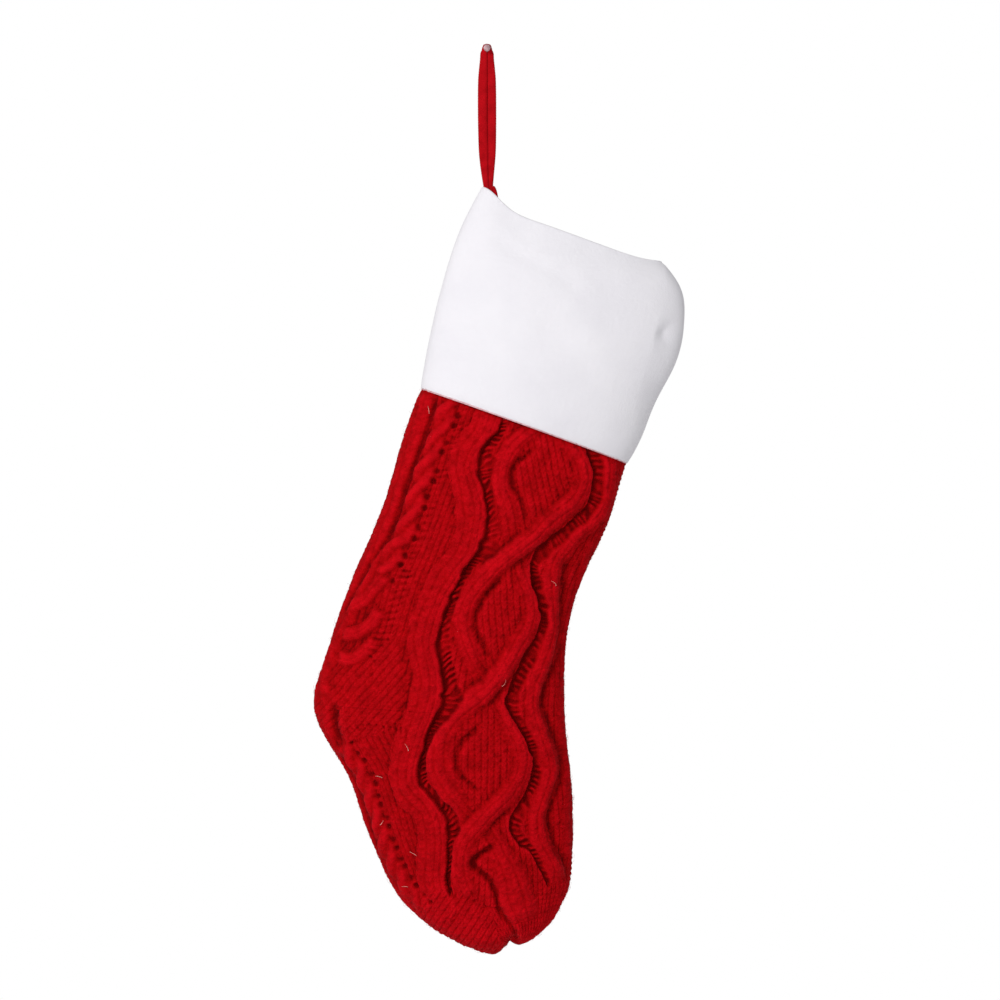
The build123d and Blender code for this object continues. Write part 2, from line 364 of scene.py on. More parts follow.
class Tube:
    """Oval tube through stations; row positions run from 0 at the top to 1.

    Over the length rounded_end its depth closes to almost nothing at the low end.
    """

    def __init__(self, stations, rows=400, rounded_end=0.0):
        p = np.asarray(stations, float)
        middle = (p[:, 0:2] + p[:, 2:4]) / 2
        knots = lengths(middle)
        r = spline(p, count=rows, knots=knots)
        self.length = knots[-1]
        self.at = np.linspace(0, 1, rows)
        self.centre = (r[:, 0:2] + r[:, 2:4]) / 2
        self.across = unit(r[:, 2:4] - r[:, 0:2])
        self.half = np.linalg.norm(r[:, 2:4] - r[:, 0:2], axis=1) / 2
        self.depth = r[:, 4]
        if rounded_end:
            past = np.clip((self.at - 1) * self.length / rounded_end + 1, 0, 1)
            self.depth = self.depth * np.sqrt(1 - 0.995 * past ** 2)

    def row(self, s):
        def pick(a):
            return np.interp(s, self.at, a)
        across = unit(np.stack([pick(self.across[:, 0]), pick(self.across[:, 1])], -1))
        return pick(self.centre[:, 0]), pick(self.centre[:, 1]), across, pick(self.half), pick(self.depth)

    def point(self, s, angle, shrink=0.0, lift=0.0):
        """Point at row s and angle: 0 is the right end, 90 degrees the front."""
        cx, cz, across, half, depth = self.row(s)
        u = np.cos(angle) * (half - shrink)
        return np.stack([
            cx + u * across[..., 0] - lift * across[..., 1],
            HANG_Y - np.sin(angle) * (depth - shrink),
            cz + u * across[..., 1] + lift * across[..., 0],
        ], -1)

    def locate(self, x, z):
        """Row and position across, -1 to 1, of front-view points."""
        low, high = np.zeros_like(x), np.ones_like(x)
        for _ in range(18):
            s = (low + high) / 2
            cx, cz, across, _, _ = self.row(s)
            above = -across[..., 1] * (x - cx) + across[..., 0] * (z - cz)
            low, high = np.where(above < 0, s, low), np.where(above < 0, high, s)
        cx, cz, across, half, _ = self.row(s)
        return s, ((x - cx) * across[..., 0] + (z - cz) * across[..., 1]) / half


LEG = Tube(KNIT, rounded_end=TOE_ROUND)
CUFF_TUBE = Tube(CUFF)


def even_angles(count, half, depth, low, high):
    """Angles that share the oval's arc evenly."""
    fine = np.linspace(low, high, 2000)
    speed = np.hypot(half * np.sin(fine), depth * np.cos(fine))
    arc = np.r_[0, np.cumsum((speed[1:] + speed[:-1]) / 2 * np.diff(fine))]
    return np.interp(np.linspace(0, arc[-1], count), arc, fine)


# ============================== meshes ==============================

def signed_volume(verts, faces):
    """Six times the volume under the faces; positive when they look outwards."""
    first = verts[faces[:, 0]]
    return sum(
        (first * np.cross(verts[faces[:, k]], verts[faces[:, k + 1]])).sum()
        for k in range(1, faces.shape[1] - 1))


def make_mesh(name, verts, quads, tris=None, relief=None):
    """Closed mesh object from arrays in millimetres; relief is a value from 0 to 1 per point, the painted
    shading that the yarn's colour reads.
    """
    tris = np.zeros((0, 3), int) if tris is None else tris
    if signed_volume(verts, quads) + signed_volume(verts, tris) < 0:
        quads, tris = quads[:, ::-1], tris[:, ::-1]
    loops = np.r_[quads.ravel(), tris.ravel()].astype(np.int32)
    sizes = np.r_[np.full(len(quads), 4), np.full(len(tris), 3)].astype(np.int32)
    me = bpy.data.meshes.new(name)
    me.vertices.add(len(verts))
    me.vertices.foreach_set("co", (np.asarray(verts) * MM).ravel().astype(np.float32))
    me.loops.add(len(loops))
    me.loops.foreach_set("vertex_index", loops)
    me.polygons.add(len(sizes))
    me.polygons.foreach_set("loop_start", np.r_[0, np.cumsum(sizes)[:-1]].astype(np.int32))
    me.polygons.foreach_set("loop_total", sizes)
    me.update(calc_edges=True)
    me.polygons.foreach_set("use_smooth", np.ones(len(sizes), bool))
    if relief is not None:
        layer = me.attributes.new("relief", "FLOAT", "POINT")
        layer.data.foreach_set("value", np.asarray(relief, np.float32))
    me.validate()
    ob = bpy.data.objects.new(name, me)
    bpy.context.scene.collection.objects.link(ob)
    return ob


def grid_quads(rows, columns, wrap_rows=False, wrap_columns=False, start=0, flip=False):
    """Quads of a grid of points stored row by row."""
    i = np.arange(rows if wrap_rows else rows - 1)[:, None]
    j = np.arange(columns if wrap_columns else columns - 1)[None, :]
    i2, j2 = (i + 1) % rows, (j + 1) % columns
    corners = i * columns + j, i * columns + j2, i2 * columns + j2, i2 * columns + j
    q = np.stack(np.broadcast_arrays(*corners), -1).reshape(-1, 4) + start
    return q[:, ::-1] if flip else q


def give(ob, material, slot, body, *nodes):
    """Material, body and the CAD nodes that the piece stands for; slot is not used."""
    ob.data.materials.append(material)
    if body:
        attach(ob, body)
    if nodes:
        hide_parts(*nodes)


def border(rows, columns):
    """Indices round the edge of a grid, one way round."""
    top = [(0, j) for j in range(columns)]
    right = [(i, columns - 1) for i in range(1, rows)]
    bottom = [(rows - 1, j) for j in range(columns - 2, -1, -1)]
    left = [(i, 0) for i in range(rows - 2, 0, -1)]
    return np.array([i * columns + j for i, j in top + right + bottom + left])


def closed_panel(outer, inner, stride):
    """Closed sheet from a fine outer grid and an inner grid with every stride-th point."""
    rows, columns = outer.shape[:2]
    in_rows, in_columns = inner.shape[:2]
    quads = grid_quads(rows, columns)
    back = grid_quads(in_rows, in_columns, start=rows * columns, flip=True)
    edge = border(rows, columns)
    in_edge = border(in_rows, in_columns) + rows * columns
    tris = []
    count = len(in_edge)
    for k in range(count):
        a, b = in_edge[k], in_edge[(k + 1) % count]
        fine = [edge[(k * stride + m) % len(edge)] for m in range(stride + 1)]
        half = stride // 2
        tris += [(fine[m + 1], fine[m], a) for m in range(half)]
        tris.append((b, fine[half], a))
        tris += [(fine[m + 1], fine[m], b) for m in range(half, stride)]
    verts = np.concatenate([outer.reshape(-1, 3), inner.reshape(-1, 3)])
    return verts, np.concatenate([quads, back]), np.array(tris)


def grid_normals(p):
    """Outward normals of a grid whose columns run left to right and rows downwards."""
    return unit(np.cross(np.gradient(p, axis=0), np.gradient(p, axis=1)))


# ============================== the knitted fabric ==============================

def smooth_max(a, b, width):
    return 0.5 * (a + b + np.sqrt((a - b) ** 2 + width ** 2))


def mound(distance, half):
    """Rounded cross-section of a strand, from 0 at its edge to 1 at its middle."""
    return np.clip(1 - (distance / half) ** 2, 0, 1) ** 0.75


def turned(x, z, degrees):
    """Column and row coordinates of stitches whose columns lean by degrees from vertical."""
    a = math.radians(degrees)
    return (x * math.cos(a) + z * math.sin(a)) / COLUMN, (-z * math.cos(a) + x * math.sin(a)) / ROW


def ovals():
    """Outlines of the spaces that the two strands enclose between their crossings."""
    a, b = spline(STRAND_A, step=3)[:, :2], spline(STRAND_B, step=3)[:, :2]
    crossings = [(38, -226), (15, -298), (1, -382), (-4, -460), (-4, -520)]
    marks = [[int(((r - c) ** 2).sum(1).argmin()) for c in crossings] for r in (a, b)]
    return [
        np.concatenate([a[marks[0][k]:marks[0][k + 1] + 1], b[marks[1][k]:marks[1][k + 1] + 1][::-1]])
        for k in range(len(crossings) - 1)
    ]


class Fabric:
    """Height of the fabric over its ground and its stitches, built up from the ground."""

    def __init__(self, x, z, column, row):
        self.x, self.z = x, z
        self.jitter_c = 0.10 * smooth_noise(x, z, 5.5, 3) + 0.16 * smooth_noise(x, z, 21.0, 4)
        self.jitter_r = 0.14 * smooth_noise(x, z, 4.5, 5) + 0.25 * smooth_noise(x, z, 17.0, 6)
        self.wander = 0.8 * smooth_noise(x, z, 9.0, 7) + 0.4 * smooth_noise(x, z, 2.8, 10)
        self.height = 0.8 * smooth_noise(x, z, 29.0, 8) + 0.5 * smooth_noise(x, z, 11.0, 9)
        self.stitch = self.stitches_at(column, row)

    def stitches_at(self, column, row):
        return stitches(column + self.jitter_c, row + self.jitter_r)

    def patch(self, outline, degrees, raised, margin):
        """Stockinette leaning its own way inside an outline, raised into a soft mound."""
        outline = np.array(outline, float)
        within = inside(self.x, self.z, outline)
        edge = near_route(self.x, self.z, np.r_[outline, outline[:1]], 3)[0]
        self.height = self.height + raised * within * smoothstep(0, margin, edge)
        self.stitch = np.where(within, self.stitches_at(*turned(self.x, self.z, degrees)), self.stitch)

    def strand(self, route, left, right, tall, columns=3, blend=1.0, ends=(0, 10)):
        """Raised strand with half widths to its left and right and its stitches along it."""
        d, along, rest, side, *more = near_route(self.x, self.z, route)
        lift, wide = more if more else (0.0, 0.0)
        half = np.where(side > 0, right, left) + wide
        half = half * (1 + 0.07 * smooth_noise(along, along * 0, 8.0, 31))
        d = np.abs(d + self.wander * 0.8)
        fade = smoothstep(0, ends[1], rest) * (smoothstep(0, ends[0], along) if ends[0] else 1)
        tall = tall * (1 + 0.12 * smooth_noise(self.x, self.z, 10.0, 32))
        top = (tall + lift) * mound(d, half) * fade - 3.0 * (d >= half)
        own = self.stitches_at(0.5 * columns + side / (2 * half) * columns, along / ROW)
        cover = (d < half * 0.9) & (top > self.height - 0.6)
        self.stitch = np.where(cover, 0.75 * own + 0.17, self.stitch)
        self.height = smooth_max(self.height, top, blend)

    def twisted(self, route, half, tall, pitch, spread):
        """Small cable of two strands; the upper one runs from upper right to lower left."""
        d, along, rest, side = near_route(self.x, self.z, route)
        fade = smoothstep(-2, 6, rest) * smoothstep(-3, 3, along)
        for k in range(2):
            phase = 2 * np.pi * along / pitch + k * np.pi
            off = side - spread * np.cos(phase) + self.wander * 0.5
            top = (tall + 1.2 * np.sin(phase)) * mound(off, half) * fade - 3.0 * (np.abs(off) >= half)
            top = np.where(d < 3 * half, top, -9)
            own = self.stitches_at(0.5 + off / (2 * half), along / ROW)
            cover = (np.abs(off) < half) & (top > self.height - 0.3)
            self.stitch = np.where(cover, 0.6 * own + 0.2, self.stitch)
            self.height = smooth_max(self.height, top, 0.8)

    def hollow(self, route, depth, pitch, lean, bars):
        """Hollow bridged by bars: deepest on one side, from where the bars climb to the other."""
        d, along, rest, side, half = near_route(self.x, self.z, route)
        half = half * (0.9 + 0.2 * smooth_noise(along, along * 0, 5.0, 33))
        u = (side + 0.7 * self.wander) / half
        ends = smoothstep(-1, 3, along) * smoothstep(-1, 3, rest)
        w = smoothstep(-1.25, -0.9, u) * (1 - smoothstep(0.75, 1.35, u)) * ends
        t = np.clip((u + 1) / 2, 0, 1)
        turn = along / pitch + lean * t
        turn = turn + 1.2 * smooth_noise(along, along * 0, 8.0, 34) + 0.3 * self.wander
        swing = 0.62 + 0.35 * smooth_noise(along, along * 0, 6.0, 40)
        bar = np.clip(0.62 + swing * np.cos(2 * np.pi * turn), 0, 1)
        bar = bar * smoothstep(-0.95, -0.2, u + 0.4 * smooth_noise(along, along * 0, 2.5, 35))
        uneven = 0.2 * smooth_noise(along, along * 0, 4.0, 36) + 0.3 * smooth_noise(self.x, self.z, 2.4, 39)
        bar = bar * (0.8 + uneven)
        floor = -depth * (1 - 0.75 * t ** 1.3) + bars * bar * (1 - 0.25 * t)
        floor = floor + 0.9 * smooth_noise(along, along * 0, 11.0, 38)
        self.height = self.height * (1 - w) + floor * w
        self.stitch = self.stitch * (1 - w) + (0.25 + 0.35 * bar * t) * w

    def crease(self, route, depth, width):
        d, along, rest, _ = near_route(self.x, self.z, route)
        ends = smoothstep(-2, 8, along) * smoothstep(-2, 8, rest)
        self.height = self.height - depth * ends * np.exp(-((d + 0.6 * self.wander) / width) ** 2)

    def holes(self, route, offset, period, pair, depth, radius, start):
        """Pairs of dark holes beside a small cable, one pair to each of its crossings."""
        _, along, rest, side = near_route(self.x, self.z, route)
        ends = (along > 0) & (rest > 0)
        for shift, size in ((0.0, 0.7), (pair, 1.0)):
            a = (along - start - shift) / period
            a = (a - np.round(a)) * period + 0.7 * self.wander
            d = np.hypot(a, (side - offset) * 1.1 + 0.9 * self.wander)
            self.height = self.height - depth * size * ends * np.exp(-(d / radius) ** 3)

    def rungs(self, route, offset, width, pitch, depth, lean):
        """Row of short bars beside a small cable."""
        _, along, rest, side = near_route(self.x, self.z, route)
        u = (side - offset + 0.8 * self.wander) / width
        uneven = 0.75 + 0.35 * smooth_noise(self.x, self.z, 5.0, 37)
        w = np.exp(-u ** 4) * (along > 0) * (rest > 0) * uneven
        turn = along / pitch + lean * u + 0.16 * self.wander
        self.height = self.height - depth * w * np.clip(np.cos(2 * np.pi * turn), 0, 1)

    def finish(self, press):
        """Height with stitches and fuzz, and how open to the light each point is, 0 to 1: painted shading,
        which the yarn's colour shows as painted shade in the hollows.
        """
        x, z = self.x, self.z
        fuzz = 0.26 * smooth_noise(x, z, 1.4, 51) + 0.34 * smooth_noise(x, z, 2.6, 52)
        full = self.height * press + STITCH_H * self.stitch + fuzz
        away = full - blur(full, 4)
        broad = full - blur(full, 12)
        # Painted shade: lower, and so darker, where the surface lies below its neighbours.
        painted_shading = np.clip(0.57 + 0.34 * away + 0.08 * broad, 0, 1)
        return full, painted_shading


def blur(a, reach):
    """Box blur of a grid, twice over."""
    for _ in range(2):
        for axis in (0, 1):
            pad = [(0, 0), (0, 0)]
            pad[axis] = (reach + 1, reach)
            c = np.cumsum(np.pad(a, pad, mode="edge"), axis=axis)
            n = a.shape[axis]
            high = np.take(c, np.arange(2 * reach + 1, 2 * reach + 1 + n), axis=axis)
            low = np.take(c, np.arange(n), axis=axis)
            a = (high - low) / (2 * reach + 1)
    return a


def below_hem(x, z):
    """Distance of front-view points below the cuff's lower edge."""
    left, right = np.array(CUFF[-1][0:2]), np.array(CUFF[-1][2:4])
    across = unit(right - left)
    return (x - left[0]) * across[1] - (z - left[1]) * across[0]


def knit_pattern(x, z, column, row):
    """The whole pattern, seen from the front, and its painted shading: its openness to the light, with a
    painted shadow under the cuff's hem and painted light on the toe.
    """
    f = Fabric(x, z, column, row)
    f.patch(HEEL_PATCH, -42, 1.2, 9)
    for outline, lean, raised in zip(ovals(), (12, 4, 0, -6), (2.6, 2.8, 2.8, 2.0)):
        f.patch(outline, lean, raised, 9)
    f.strand(COLUMN_EDGE, 7.0, 6.0, 2.2, 2, 1.4)
    f.strand(SERPENT_LEFT, 11.0, 6.8, 3.4, 4, 3.0)
    f.strand(SERPENT_RIGHT, 6.2, 5.8, 3.1, 2.5, 1.4)
    f.strand(SIDE_COLUMN, 4.5, 6.0, 1.8, 2, 1.4, (14, 14))
    f.strand(STRAND_B, 0, 0, 4.4, 3, 1.6)
    f.strand(STRAND_A, 0, 0, 4.4, 3, 1.6)
    f.patch(TOE_LEFT, -32, 1.8, 12)
    f.twisted(TWIST_LEG, half=4.6, tall=3.8, pitch=35.0, spread=2.7)
    for knuckle in KNUCKLES:
        f.strand(knuckle, 5.2, 4.4, 4.3, 2, 0.8, (6, 7))
    f.twisted(TWIST_SOLE, half=4.0, tall=3.3, pitch=27.0, spread=2.3)
    f.hollow(HOLLOW_LEFT, depth=1.1, pitch=3.6, lean=0.9, bars=2.0)
    f.hollow(HOLLOW_RIGHT, depth=2.0, pitch=3.8, lean=-0.4, bars=1.9)
    f.holes(TWIST_LEG, offset=6.4, period=17.5, pair=6.5, depth=2.4, radius=1.7, start=13.0)
    f.rungs(TWIST_LEG, offset=10.0, width=3.0, pitch=4.2, depth=0.8, lean=0.3)
    f.rungs(LADDER_HEEL, offset=0, width=4.5, pitch=4.4, depth=1.2, lean=0.6)
    f.rungs(HEEL_BORDER, offset=0, width=2.4, pitch=3.6, depth=1.2, lean=0.3)
    f.holes(TWIST_SOLE, offset=5.6, period=13.5, pair=5.5, depth=2.2, radius=1.6, start=8.0)
    for valley in OVAL_VALLEYS:
        f.crease(valley, depth=2.1, width=1.9)
    f.crease(CREASE_LEG, depth=2.2, width=1.5)
    f.crease(CREASE_SOLE, depth=1.8, width=1.4)
    f.crease(CREASE_SIDE, depth=2.6, width=3.0)
    f.crease(CREASE_TOE, depth=3.6, width=2.0)
    f.crease(HEEL_DIMPLE, depth=4.6, width=3.0)
    press = 0.25 + 0.75 * smoothstep(-3, 8, below_hem(x, z))
    height, painted_shading = f.finish(press)
    # Painted shadow: the knit is painted darker just below the cuff's lower edge.
    shadow = np.exp(-(below_hem(x, z) / 2.0) ** 2)
    # Painted light: the toe is painted lighter, standing in for light that its downturned surface does not
    # get.
    painted_toe_light = 0.2 * smoothstep(485, 520, -z)
    return height, painted_shading * (1 - 0.6 * shadow) + painted_toe_light


def knit_panels(material):
    """Front and back of the knitted tube, each in two pieces; gives their surfaces and normals."""
    cut = PANEL_LEG * STRIDE
    split = LEG.locate(*np.array(HEEL_SPLIT)[:, None])[0][0]
    s = np.r_[np.linspace(0, split, cut + 1), np.linspace(split, 1, PANEL_FOOT * STRIDE + 1)[1:]]
    columns = PANEL_COLUMNS * STRIDE + 1
    angles = even_angles(columns, *PANEL_OVAL, 0, np.pi)[::-1]
    ss, aa = np.meshgrid(s, angles, indexing="ij")
    arc = np.broadcast_to(np.linspace(0, PANEL_ARC / COLUMN, columns), ss.shape)
    flat = LEG.point(ss, aa)
    height, painted_shading = knit_pattern(flat[..., 0], flat[..., 2], arc, ss * LEG.length / ROW)
    edge = np.sqrt(np.abs(np.sin(aa)))
    surfaces = []
    for side, name in ((1, "front"), (-1, "back")):
        ground = toe_notch(LEG.point(ss, aa * side))
        normal = grid_normals(ground)
        if (normal[..., 1] * side).mean() > 0:
            normal = -normal
        outer = ground + normal * (height * (0.3 + 0.7 * edge))[..., None]
        inner = (ground - normal * KNIT_T)[::STRIDE, ::STRIDE]
        surfaces.append((outer, normal))
        for part, rows, in_rows, nodes in (
            ("leg", slice(0, cut + 1), slice(0, PANEL_LEG + 1), ("leg",)),
            ("foot", slice(cut, None), slice(PANEL_LEG, None), ("heel", "foot", "toe")),
        ):
            verts, quads, tris = closed_panel(outer[rows], inner[in_rows], STRIDE)
            # The panels carry their painted shading; the hidden inner face gets a fixed painted shade.
            values = np.r_[painted_shading[rows].ravel(), np.full(inner[in_rows].size // 3, 0.3)]
            ob = make_mesh(f"knit_{part}_{name}", verts, quads, tris, values)
            give(ob, material, "red_knit", STOCKING, *[f"{node}_{name}" for node in nodes])
    return surfaces


def bent_fibre(root, normal, heading, rise, curl, length, radius, points):
    """Thin closed tube that leaves the surface and bends back towards it."""
    across = unit(np.cross(normal, heading))
    t = np.linspace(0, 1, points)[:, None]
    path = root + length * (t * heading + rise * np.sin(np.pi * 0.8 * t) * normal + curl * t ** 2 * across)
    return tube_mesh(path, np.linspace(radius, radius * 0.4, points), 3)


def loose_fibres(surfaces, material):
    """Fuzz that stands off the yarn, front and back."""
    rng = np.random.default_rng(RNG_SEED)
    parts = []
    for outer, normal in surfaces:
        rows, columns = outer.shape[:2]
        picks = zip(rng.integers(24, rows - 4, FIBRES), rng.integers(2, columns - 2, FIBRES))
        for i, j in picks:
            n = normal[i, j]
            heading = unit(np.cross(n, rng.normal(size=3)))
            parts.append(bent_fibre(
                outer[i, j] - 0.2 * n, n, heading, rng.uniform(0.15, 0.45), rng.normal() * 0.4,
                rng.uniform(1.6, 4.2), FIBRE_R, 4))
    v, q, t = join(parts)
    ob = make_mesh("knit_fuzz", v, q, t, np.full(len(v), 0.95))
    give(ob, material, "red_knit", STOCKING)


def lint(surface, material):
    """The few pale hairs caught on the front."""
    outer, normal = surface
    flat, normals = outer.reshape(-1, 3), normal.reshape(-1, 3)
    parts = []
    for x, z, degrees in LINT:
        k = int(((flat[:, 0] - x) ** 2 + (flat[:, 2] - z) ** 2).argmin())
        a = math.radians(degrees)
        heading = np.array([math.cos(a), 0, math.sin(a)])
        heading = unit(heading - normals[k] * (heading @ normals[k]))
        root = flat[k] + 0.1 * normals[k]
        parts.append(bent_fibre(root, normals[k], heading, 0.3, 0.8, LINT_L, LINT_R, 9))
    v, q, t = join(parts)
    give(make_mesh("lint", v, q, t), material, "red_knit", STOCKING)


def capped(rings):
    """Vertices, quads and triangles of a closed tube through rings of points."""
    count, sides = rings.shape[:2]
    verts = rings.reshape(-1, 3)
    fans = []
    for first, flip in ((0, True), ((count - 1) * sides, False)):
        ring = first + np.arange(sides)
        fan = np.stack([np.full(sides, len(verts)), ring, np.roll(ring, -1)], -1)
        verts = np.r_[verts, verts[ring].mean(0)[None]]
        fans.append(fan[:, ::-1] if flip else fan)
    return verts, grid_quads(count, sides, wrap_columns=True), np.concatenate(fans)


def tube_mesh(path, radius, sides):
    """Closed round tube along points."""
    path = np.asarray(path, float)
    tangent = unit(np.gradient(path, axis=0))
    a = unit(np.cross(tangent, np.array([0.0, 1.0, 0.001])))
    b = np.cross(tangent, a)
    phi = np.linspace(0, 2 * np.pi, sides, endpoint=False)
    radius = np.broadcast_to(radius, len(path))
    ring = a[:, None] * np.cos(phi)[None, :, None] + b[:, None] * np.sin(phi)[None, :, None]
    return capped(path[:, None] + ring * radius[:, None, None])


def join(parts):
    """One set of vertices, quads and triangles from several."""
    verts, quads, tris, count = [], [], [], 0
    for v, q, t in parts:
        verts.append(v)
        quads.append(q + count)
        tris.append(t + count)
        count += len(v)
    return np.concatenate(verts), np.concatenate(quads), np.concatenate(tris)


def toe_notch(p):
    """Draw the toe's end up between its two lobes."""
    lift = NOTCH_DEPTH * np.exp(-((p[..., 0] - NOTCH_X) / NOTCH_WIDTH) ** 2)
    lift = lift * smoothstep(522, 537, -p[..., 2])
    return p + lift[..., None] * np.array([0.0, 0.0, 1.0])


def seams(material):
    """Linked seams down both sides and round the toe."""
    s = np.linspace(0.02, 0.985, 900)
    for node, path in (
        ("seam_heel_side", LEG.point(s, np.full_like(s, np.pi))),
        ("seam_instep_side", LEG.point(s, np.zeros_like(s))),
        ("seam_toe", LEG.point(np.full(160, 0.995), np.arccos(np.linspace(-0.97, 0.97, 160)), 1.0)),
    ):
        if node == "seam_toe":
            path[:, 1] = HANG_Y
            path = toe_notch(path)
        radius = SEAM_R + SEAM_BEAD * np.sin(2 * np.pi * lengths(path) / ROW)
        v, q, t = tube_mesh(path, radius, 10)
        ob = make_mesh(node.replace("seam", "link"), v, q, t, np.full(len(v), 0.5))
        give(ob, material, "knit_seam", STOCKING, node)


# ============================== the cuff ==============================

def cuff(material):
    """One sheet of plush: outside up to the rim, over it, and its facing turned in and down."""
    both = 2 * CLOTH_T + LAYER_GAP
    over_rim = np.linspace(0, np.pi, 9)[1:-1]
    # Row on the tube, depth under the outer face and lift over the rim, once round the folded sheet
    profile = [(u, 0.0, 0.0) for u in np.linspace(1, 0, 140)]
    profile += [(0.0, both * (1 - math.cos(a)) / 2, 0.9 * math.sin(a)) for a in over_rim]
    profile += [(u, both, 0.0) for u in np.linspace(0, FACING_AT, 30)]
    profile += [(u, CLOTH_T + LAYER_GAP, 0.0) for u in np.linspace(FACING_AT, 0.02, 24)]
    profile += [(u, CLOTH_T, 0.0) for u in np.linspace(0.02, 1, 50)]
    profile = np.array(profile)
    angle = even_angles(CUFF_COLUMNS + 1, *CUFF_OVAL, 0, 2 * np.pi)[:-1]
    ss, aa = np.meshgrid(profile[:, 0], angle, indexing="ij")
    shrink = np.broadcast_to(profile[:, 1:2], ss.shape)
    lift = np.broadcast_to(profile[:, 2:3], ss.shape)
    p = CUFF_TUBE.point(ss, aa, shrink, lift)
    x, z = p[..., 0], p[..., 2]
    outward = np.stack([np.cos(aa) * 0.3, -np.sin(aa), np.zeros_like(aa)], -1)
    relief = 0.5 * smooth_noise(x, z, 34.0, 41) + 0.25 * smooth_noise(x, z, 12.0, 42)
    front = np.sin(aa) > 0
    past_edge = near_route(x, z, CUFF_EDGE)[3]
    at_crease = np.exp(-((z - CUFF_CREASE_Z) / 7) ** 2)
    turned_away = smoothstep(-3, 12 - 8 * at_crease, past_edge) * smoothstep(148, 166, -z)
    relief = relief - np.where(front, (4.0 + 2.5 * at_crease) * turned_away * np.sin(aa), 0)
    fold = near_route(x, z, CUFF_FOLD)[0]
    relief = relief - np.where(front, 0.7 * np.exp(-(fold / 6) ** 2), 0)
    relief = relief - smoothstep(0.955, 1.0, ss) ** 2
    relief = relief + 0.10 * smooth_noise(x + p[..., 1], z, 0.9, 43)
    p = p + outward * relief[..., None]
    sag = spline(RIM_SAG, step=0.5)
    p[..., 2] -= np.interp(x, sag[:, 0], sag[:, 1]) * (1 - smoothstep(0, 0.4, ss))
    p[..., 0] -= 4.0 * np.exp(-((z + 212) / 20) ** 2) * smoothstep(60, 104, x)
    quads = grid_quads(len(profile), CUFF_COLUMNS, wrap_rows=True, wrap_columns=True)
    ob = make_mesh("cuff_plush", p.reshape(-1, 3), quads)
    give(ob, material, "cuff_plush", STOCKING, "cuff_band", "cuff_facing", "cuff_seam")
    return ob


def cuff_thread(material):
    """Thread along the cuff's lower edge."""
    angle = even_angles(241, 66, 23, 0, 2 * np.pi)
    path = CUFF_TUBE.point(np.ones_like(angle), angle, 1.2, -0.3)
    ob = make_mesh("hem_thread", *tube_mesh(path, HEM_THREAD_R, 6))
    give(ob, material, "hem_thread", STOCKING, "cuff_hem_thread")


# ============================== loop and nail ==============================

def route_line(points):
    """Line of a NURBS spline of order 3 through control points in millimetres."""
    curve = bpy.data.curves.new("route", "CURVE")
    curve.dimensions = "3D"
    curve.resolution_u = 24
    s = curve.splines.new("NURBS")
    s.points.add(len(points) - 1)
    for q, p in zip(s.points, points):
        q.co = (*[c * MM for c in p], 1)
    s.order_u = 3
    s.use_endpoint_u = True
    ob = bpy.data.objects.new("route", curve)
    me = bpy.data.meshes.new_from_object(ob)
    line = np.array([v.co[:] for v in me.vertices]) / MM
    bpy.data.objects.remove(ob)
    bpy.data.curves.remove(curve)
    bpy.data.meshes.remove(me)
    return line


def tape_loop(material):
    """The tape: wide along Y over the nail, its faces turned to the front in both strands."""
    line = route_line([(x, HANG_Y, z) for x, z in LOOP_ROUTE])
    line = line[np.r_[True, np.linalg.norm(np.diff(line, axis=0), axis=1) > 1e-4]]
    along = lengths(line)
    at = np.linspace(0, along[-1], int(along[-1] / 0.45))
    line = np.stack([np.interp(at, along, line[:, k]) for k in range(3)], -1)
    tangent = unit(np.gradient(line, axis=0))
    facing = np.array([0.0, -1.0, 0.0])
    lateral = unit(np.cross(tangent, facing))
    turn = (1 - smoothstep(-4.0, 1.0, line[:, 2])) * np.pi / 2
    wide = lateral * np.sin(turn)[:, None] + facing * np.cos(turn)[:, None]
    thin = np.cross(tangent, wide)
    narrow = 1 - 0.42 * (1 - smoothstep(-86, -58, line[:, 2])) - 0.24 * smoothstep(-20, -2, line[:, 2])
    sides = 28
    phi = np.linspace(0, 2 * np.pi, sides, endpoint=False)
    c, s = np.cos(phi), np.sin(phi)
    c = np.sign(c) * np.abs(c) ** 0.85
    s = np.sign(s) * np.abs(s) ** 0.85
    rib = 0.08 * np.cos(c * np.pi * 4)[None] * np.abs(s)[None]
    beat = at * 2 * np.pi / TAPE_RIB
    knit = 0.10 * np.sin(beat[:, None] + np.abs(c[None]) * 3)
    w = (TAPE_W / 2 * narrow)[:, None] * c[None] * (1 + 0.02 * np.sin(beat))[:, None]
    t = TAPE_T / 2 * s[None] + (rib + knit) * s[None]
    lift = np.where(at < at[-1] / 2, STRAND_OFFSET, -STRAND_OFFSET) * (turn / (np.pi / 2))
    centre = line + facing * lift[:, None]
    rings = centre[:, None] + wide[:, None] * w[..., None] + thin[:, None] * t[..., None]
    # Painted shade: the tape is painted darker towards its edges and lighter on its flat faces; its end
    # caps get a fixed painted shade.
    painted_shading = np.clip(0.62 + 0.30 * np.abs(s)[None] - 0.1 * np.abs(c)[None] ** 6 + 0 * w, 0, 1)
    ob = make_mesh("loop_tape", *capped(rings), np.r_[painted_shading.ravel(), 0.3, 0.3])
    give(ob, material, "loop_tape", None, "hanging_loop")
    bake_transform(ob)


def loop_knot(material):
    """Nub of tape beside the loop's base."""
    path = spline(KNOT_ROUTE, count=KNOT_POINTS)
    line = np.stack([path[:, 0], np.full(KNOT_POINTS, HANG_Y), path[:, 1]], -1)
    v, q, t = tube_mesh(line, 1.15 + 0.25 * np.sin(np.linspace(0, np.pi, KNOT_POINTS)), 16)
    ob = make_mesh("tape_knot", v, q, t, np.full(len(v), 0.8))
    give(ob, material, "loop_tape", STOCKING, "loop_knot", "loop_tail")


